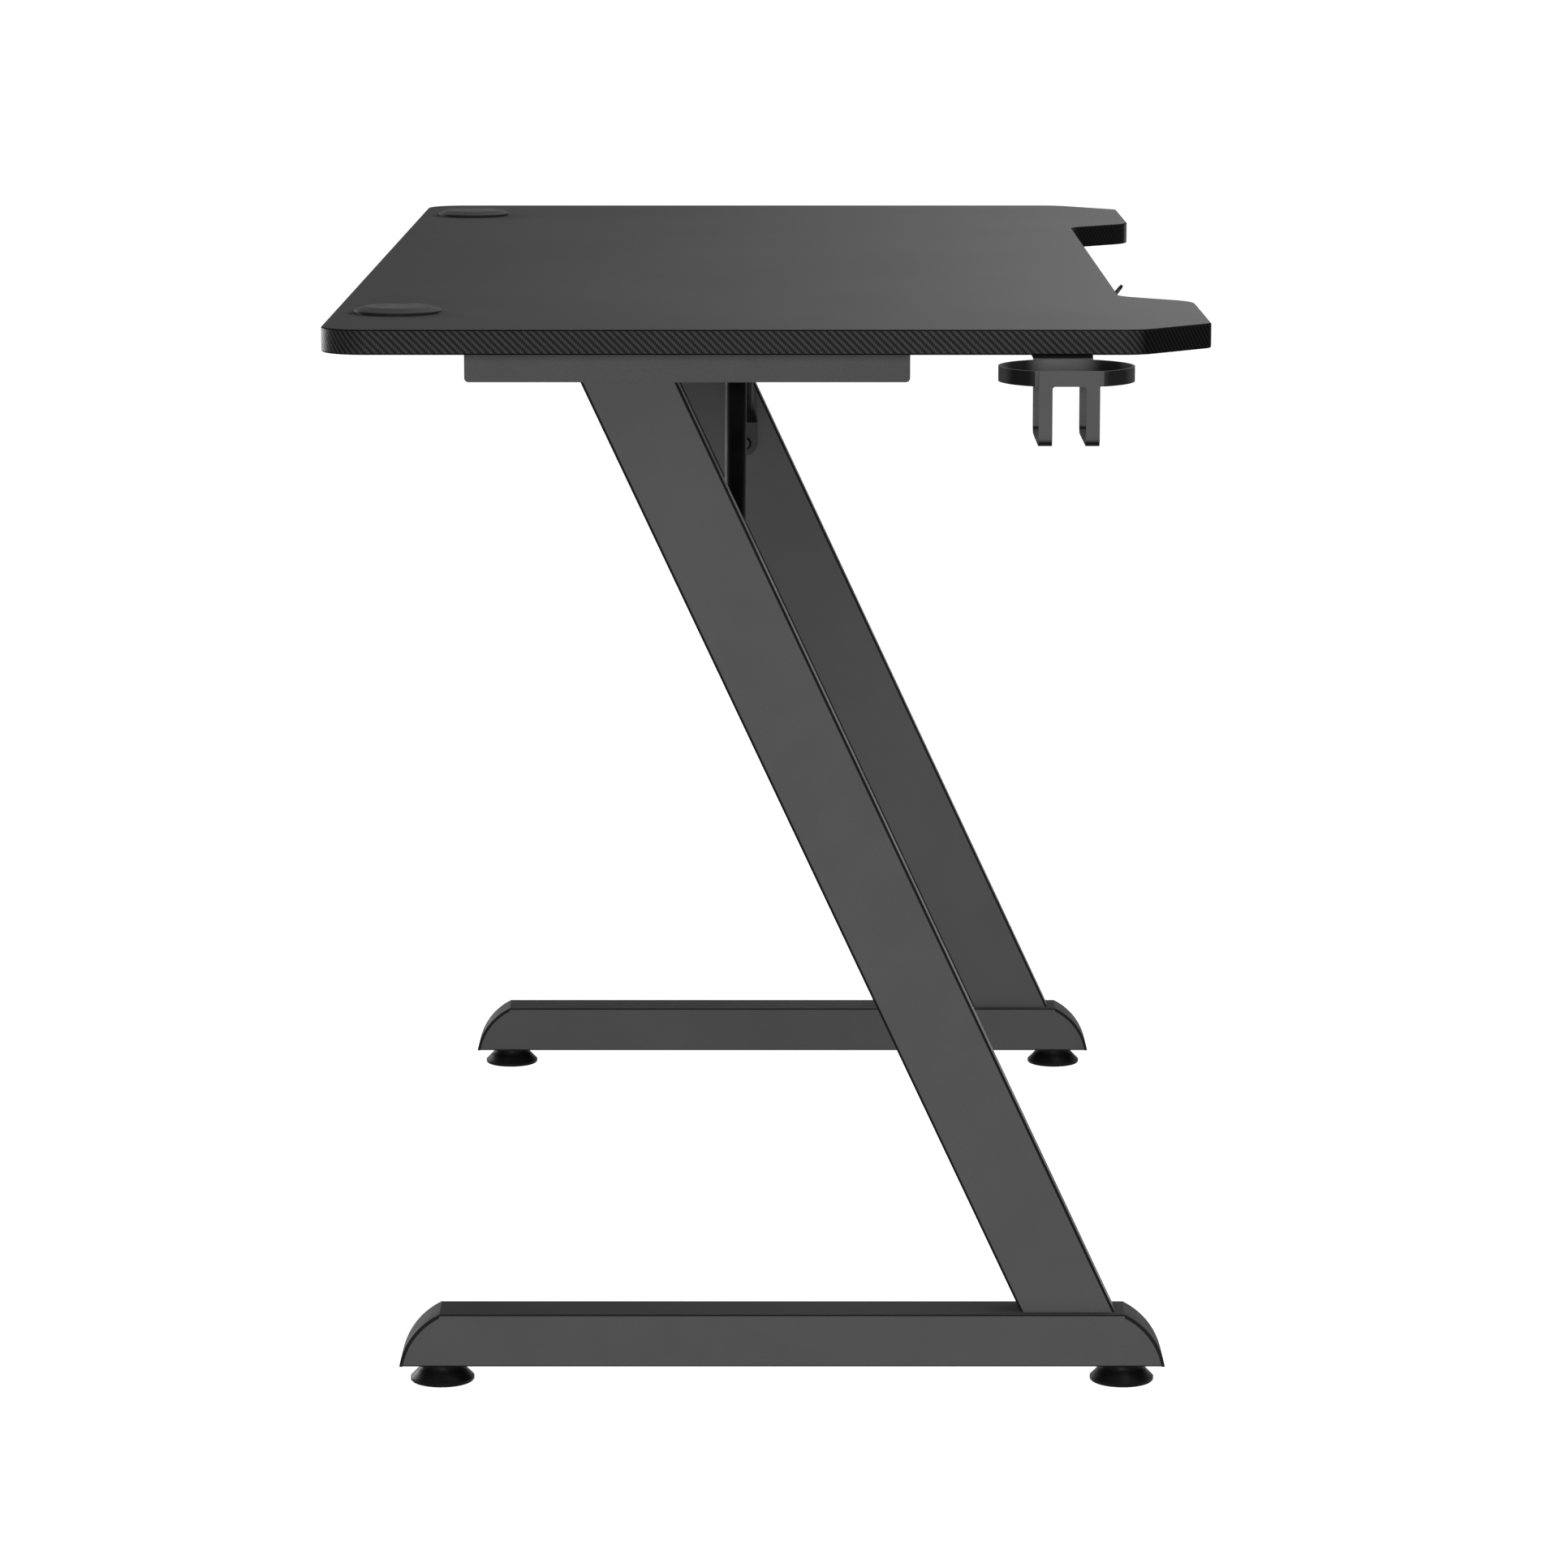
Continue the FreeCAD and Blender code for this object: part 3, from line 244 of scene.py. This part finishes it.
def pad_rubber():
    """Black rubber of the levelling pads with a fine stipple."""
    f = Finish("pad_rubber", Specular_IOR_Level=0.05)
    stipple = f.noise(size=1.4 * MM, detail=3.0)
    cloud = f.noise(size=25 * MM, detail=3.0)
    clouded = f.ramp(cloud, UPPER, levels=(0.0, 0.3))
    tone = f.mix(clouded, f.mottle(stipple, level=0.004, spread=0.2), grey(0.0034))
    f.set(Base_Color=tone, Roughness=f.ramp(cloud, WIDE, levels=(0.37, 0.47)))
    f.set(Normal=f.bump(stipple, depth=0.02 * MM))
    return f.material


def lid_plastic():
    """Satin plastic of the grommets, darker on the bevel, with the upright rim painted dark as painted
    shade.
    """
    f = Finish("grommet_satin", Specular_IOR_Level=0.025)
    stipple = f.noise(size=0.6 * MM, detail=3.0)
    cloud = f.noise(size=12 * MM, detail=3.0)
    clouded = f.ramp(cloud, UPPER, levels=(0.0, 0.3))
    nz = f.split(f.facing)[2]
    tone = f.mix(clouded, f.mottle(stipple, level=0.060, spread=0.08), grey(0.053))
    tone = f.mix(f.ramp(nz, span=(0.955, 0.99)), grey(0.060), tone)
    # Upright rim painted dark: painted shade under the lid's edge
    tone = f.mix(f.ramp(nz, span=(0.2, 0.6)), grey(0.014), tone)
    f.set(Base_Color=tone, Roughness=f.ramp(cloud, WIDE, levels=(0.56, 0.66)))
    f.set(Normal=f.bump(stipple, depth=0.02 * MM))
    return f.material


def cap_plastic():
    """Stippled cap, with painted shade on the flanks that lie against the bar."""
    f = Finish("cap_stipple", Specular_IOR_Level=0.04)
    stipple = f.noise(size=0.8 * MM, detail=3.0)
    cloud = f.noise(size=15 * MM, detail=3.0)
    clouded = f.ramp(cloud, UPPER, levels=(0.0, 0.3))
    # Flanks painted dark: painted shade beside the bar
    flank = f.ramp(f.math("ABSOLUTE", f.split(f.facing)[0]), span=(0.5, 0.9))
    tone = f.mix(clouded, f.mottle(stipple, level=0.062, spread=0.35), grey(0.052))
    tone = f.mix(flank, tone, grey(0.012))
    f.set(Base_Color=tone, Roughness=f.ramp(cloud, WIDE, levels=(0.60, 0.70)))
    f.set(Normal=f.bump(stipple, depth=0.08 * MM, strength=0.6))
    return f.material


def enamel(name, flat_level):
    """Black paint with a soft gloss, greyer on the flat faces that lie on the legs, with the curved
    faces painted near black as painted shade.
    """
    f = Finish(name, Specular_IOR_Level=0.03)
    peel = f.noise(size=2.2 * MM)
    cloud = f.noise(size=30 * MM, detail=3.0)
    flat = f.ramp(f.math("ABSOLUTE", f.split(f.facing)[0]), span=(0.90, 0.98))
    # Curved faces painted near black: painted shade where they turn from the light
    curved_shade_tone = f.mottle(cloud, level=0.004, spread=0.3)
    tone = f.mix(flat, curved_shade_tone, f.mottle(cloud, flat_level, spread=0.1))
    f.set(Base_Color=tone, Roughness=f.ramp(cloud, WIDE, levels=(0.50, 0.56)))
    f.set(Normal=f.bump(peel, depth=0.02 * MM, strength=0.3))
    return f.material


def zinc_plate():
    """Plated steel with a faint brushed grain, from a cool grey to a warm one."""
    f = Finish("zinc_plate", Metallic=1.0)
    brush = f.noise(size=0.25 * MM, stretch=(1, 1, 8))
    cloud = f.noise(size=5 * MM, detail=3.0)
    tone = f.mix(f.ramp(cloud, WIDE), grey(0.495, warmth=-0.02), grey(0.605, warmth=0.03))
    f.set(Base_Color=tone, Roughness=f.ramp(brush, WIDE, levels=(0.30, 0.45)))
    f.set(Normal=f.bump(brush, depth=0.02 * MM))
    return f.material


def board():
    """Pressed fibreboard with a dark backing sheet on its underside."""
    dark_chip, pale_chip = (0.16, 0.11, 0.065, 1.0), (0.30, 0.21, 0.13, 1.0)
    f = Finish("fibreboard", Specular_IOR_Level=0.05)
    chips = f.noise(size=1.1 * MM, detail=4.0, stretch=(2, 1, 1))
    cloud = f.noise(size=60 * MM, detail=3.0)
    clouded = f.ramp(cloud, MIDDLE, levels=(0.0, 0.4))
    raw = f.mix(f.ramp(chips, WIDE), dark_chip, pale_chip)
    sheet = f.mix(clouded, f.mottle(chips, level=0.034, spread=0.15), grey(0.028))
    down = f.math("LESS_THAN", f.split(f.facing)[2], -0.9)
    low = f.math("LESS_THAN", f.split(f.place)[2], UNDERSIDE + BACKING_DEPTH)
    f.set(Base_Color=f.mix(f.math("MULTIPLY", down, low), raw, sheet))
    f.set(Roughness=f.ramp(cloud, WIDE, levels=(0.7, 0.8)), Normal=f.bump(chips, depth=0.06 * MM))
    return f.material


FINISHES = {
    "fibreboard": board(),
    "laminate": laminate(),
    "edge_band": woven_band(),
    "grommet_plastic": lid_plastic(),
    "cap_plastic": cap_plastic(),
    "pad_plastic": pad_rubber(),
    "plated_steel": zinc_plate(),
    "black_enamel": enamel("brace_enamel", flat_level=0.042),
    # Accessories: front faces and flanges close under the board painted darker, as painted shade
    "accessory_coating": powder_coat("accessory_coat", level=0.074, front_light_share=0.55, front_gloss=0.0,
                                     shaded_share=0.05),
    "frame_coating": powder_coat("frame_coat", level=0.080),
}
leg_finish = powder_coat("leg_coat", level=0.080, lean=LEG_LEAN, edge_span=(0.92, 0.997))
# Bolt heads: grey on the flat, with painted shade on the crown's slope and sides
bolt_finish = enamel("bolt_enamel", flat_level=0.050)
for row in frame["record"]["subparts"]:
    node = row["node"]
    finish = FINISHES[row["material_slot"]]
    if node.endswith("_leg"):
        finish = leg_finish
    elif node.endswith("_brace_bolt"):
        finish = bolt_finish
    mesh = frame["nodes"][node].data
    mesh.materials.clear()
    mesh.materials.append(finish)


def shown_share(tree):
    """One on camera, glossy and transmission rays, zero on the rays that light the part."""
    path = tree.nodes.new("ShaderNodeLightPath")
    share = path.outputs["Is Camera Ray"]
    for key in ("Is Glossy Ray", "Is Transmission Ray"):
        most = tree.nodes.new("ShaderNodeMath")
        most.operation = "MAXIMUM"
        tree.links.new(share, most.inputs[0])
        tree.links.new(path.outputs[key], most.inputs[1])
        share = most.outputs[0]
    return share


def floor(level, reach=60.0):
    """Plain pale floor that runs out to white and keeps the shadows near the part."""
    mesh = bpy.data.meshes.new("floor")
    corners = ((-reach, -reach), (reach, -reach), (reach, reach), (-reach, reach))
    mesh.from_pydata([(x, y, level) for x, y in corners], [], [(0, 1, 2, 3)])
    plane = bpy.data.objects.new("floor", mesh)
    bpy.context.scene.collection.objects.link(plane)
    f = Finish("pale_floor", Specular_IOR_Level=0.0, Roughness=1.0, Emission_Color=WHITE)
    f.set(Base_Color=f.mottle(f.noise(size=3 * MM), level=0.80, spread=0.02))
    away = f.add("ShaderNodeVectorMath", f.place, operation="LENGTH").outputs["Value"]
    glow = f.ramp(away, span=(0.8, 2.6), levels=(0.82, 1.0))
    f.set(Emission_Strength=f.math("MULTIPLY", glow, shown_share(f.tree)))
    mesh.materials.append(f.material)


def studio(ambient_strength):
    """White surroundings for the eye and for reflections, with a weaker even light on the part."""
    world = bpy.data.worlds.new("studio")
    world.use_nodes = True
    bpy.context.scene.world = world
    tree = world.node_tree
    shown = tree.nodes["Background"]
    shown.inputs["Color"].default_value = WHITE
    shown.inputs["Strength"].default_value = 1.0
    ambient = tree.nodes.new("ShaderNodeBackground")
    ambient.inputs["Color"].default_value = WHITE
    ambient.inputs["Strength"].default_value = ambient_strength
    both = tree.nodes.new("ShaderNodeMixShader")
    tree.links.new(shown_share(tree), both.inputs[0])
    tree.links.new(ambient.outputs[0], both.inputs[1])
    tree.links.new(shown.outputs[0], both.inputs[2])
    tree.links.new(both.outputs[0], tree.nodes["World Output"].inputs["Surface"])


def lamp(name, place, aim, size, power):
    """Soft rectangular lamp that points at a place, out of the camera's sight."""
    data = bpy.data.lights.new(name, "AREA")
    data.shape = "RECTANGLE"
    data.size, data.size_y = size
    data.energy = power
    thing = bpy.data.objects.new(name, data)
    bpy.context.scene.collection.objects.link(thing)
    thing.location = place
    thing.rotation_euler = (Vector(aim) - Vector(place)).to_track_quat("-Z", "Y").to_euler()
    thing.visible_camera = False


def camera(place, tilt, lens):
    """Camera at the left end, looking along the board."""
    data = bpy.data.cameras.new("camera")
    data.sensor_width = 36
    data.lens = lens
    data.clip_end = 200
    thing = bpy.data.objects.new("camera", data)
    bpy.context.scene.collection.objects.link(thing)
    thing.location = place
    thing.rotation_euler = (math.radians(90 - tilt), 0, math.radians(-90))
    bpy.context.scene.camera = thing


DESK_MIDDLE = (MIDDLE_X, 0.0, 0.45)
floor(level=-FEET_REACH)
studio(ambient_strength=0.12)
lamp("key", place=(MIDDLE_X - 8.0, 0.0, 1.4), aim=DESK_MIDDLE, size=(3.2, 1.0), power=425)
lamp("front_strip", place=(MIDDLE_X, -0.45, TOP_LEVEL + 0.35), aim=(MIDDLE_X, -0.10, TOP_LEVEL),
     size=(2.4, 0.2), power=10)
lamp("rear_fill", place=(2.8, 3.2, 1.0), aim=DESK_MIDDLE, size=(2.0, 1.5), power=130)
camera(place=(MIDDLE_X - 4.29204, -0.0110, 1.08695), tilt=9.898, lens=127.31)
bpy.context.scene.view_settings.view_transform = "Standard"
